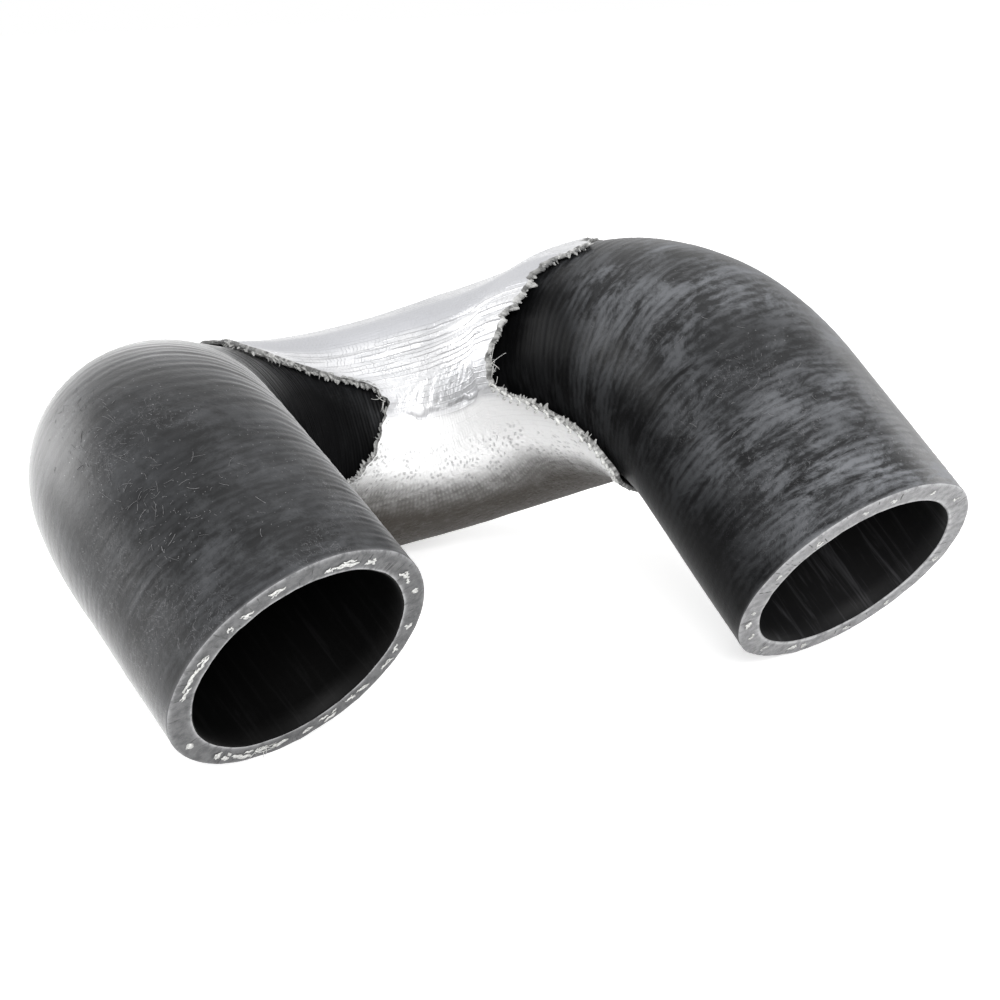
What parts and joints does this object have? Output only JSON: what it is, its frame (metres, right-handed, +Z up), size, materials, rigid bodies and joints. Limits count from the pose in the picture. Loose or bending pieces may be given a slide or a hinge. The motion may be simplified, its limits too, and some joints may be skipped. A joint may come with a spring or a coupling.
{
  "type": "radiator hose",
  "caption": "Moulded U-shaped rubber coolant hose with a wrapped foil-faced glass cloth heat sleeve round its middle run.",
  "frame": {"origin": "centre of the whole part's box in X and Y, on the surface it lies on", "axes": "+X from the left end to the right end, +Y away from the two open ends, +Z up"},
  "size_m": [0.199, 0.1781, 0.0834],
  "materials": {
    "hose_rubber": "matt moulded rubber with fine wrap ridges and chalky bloom",
    "sleeve_foil": "aluminium foil on woven glass cloth, raw edges"
  },
  "bodies": {
    "root": {"hose": "hose_rubber", "heat_sleeve": "sleeve_foil"}
  },
  "joints": []
}
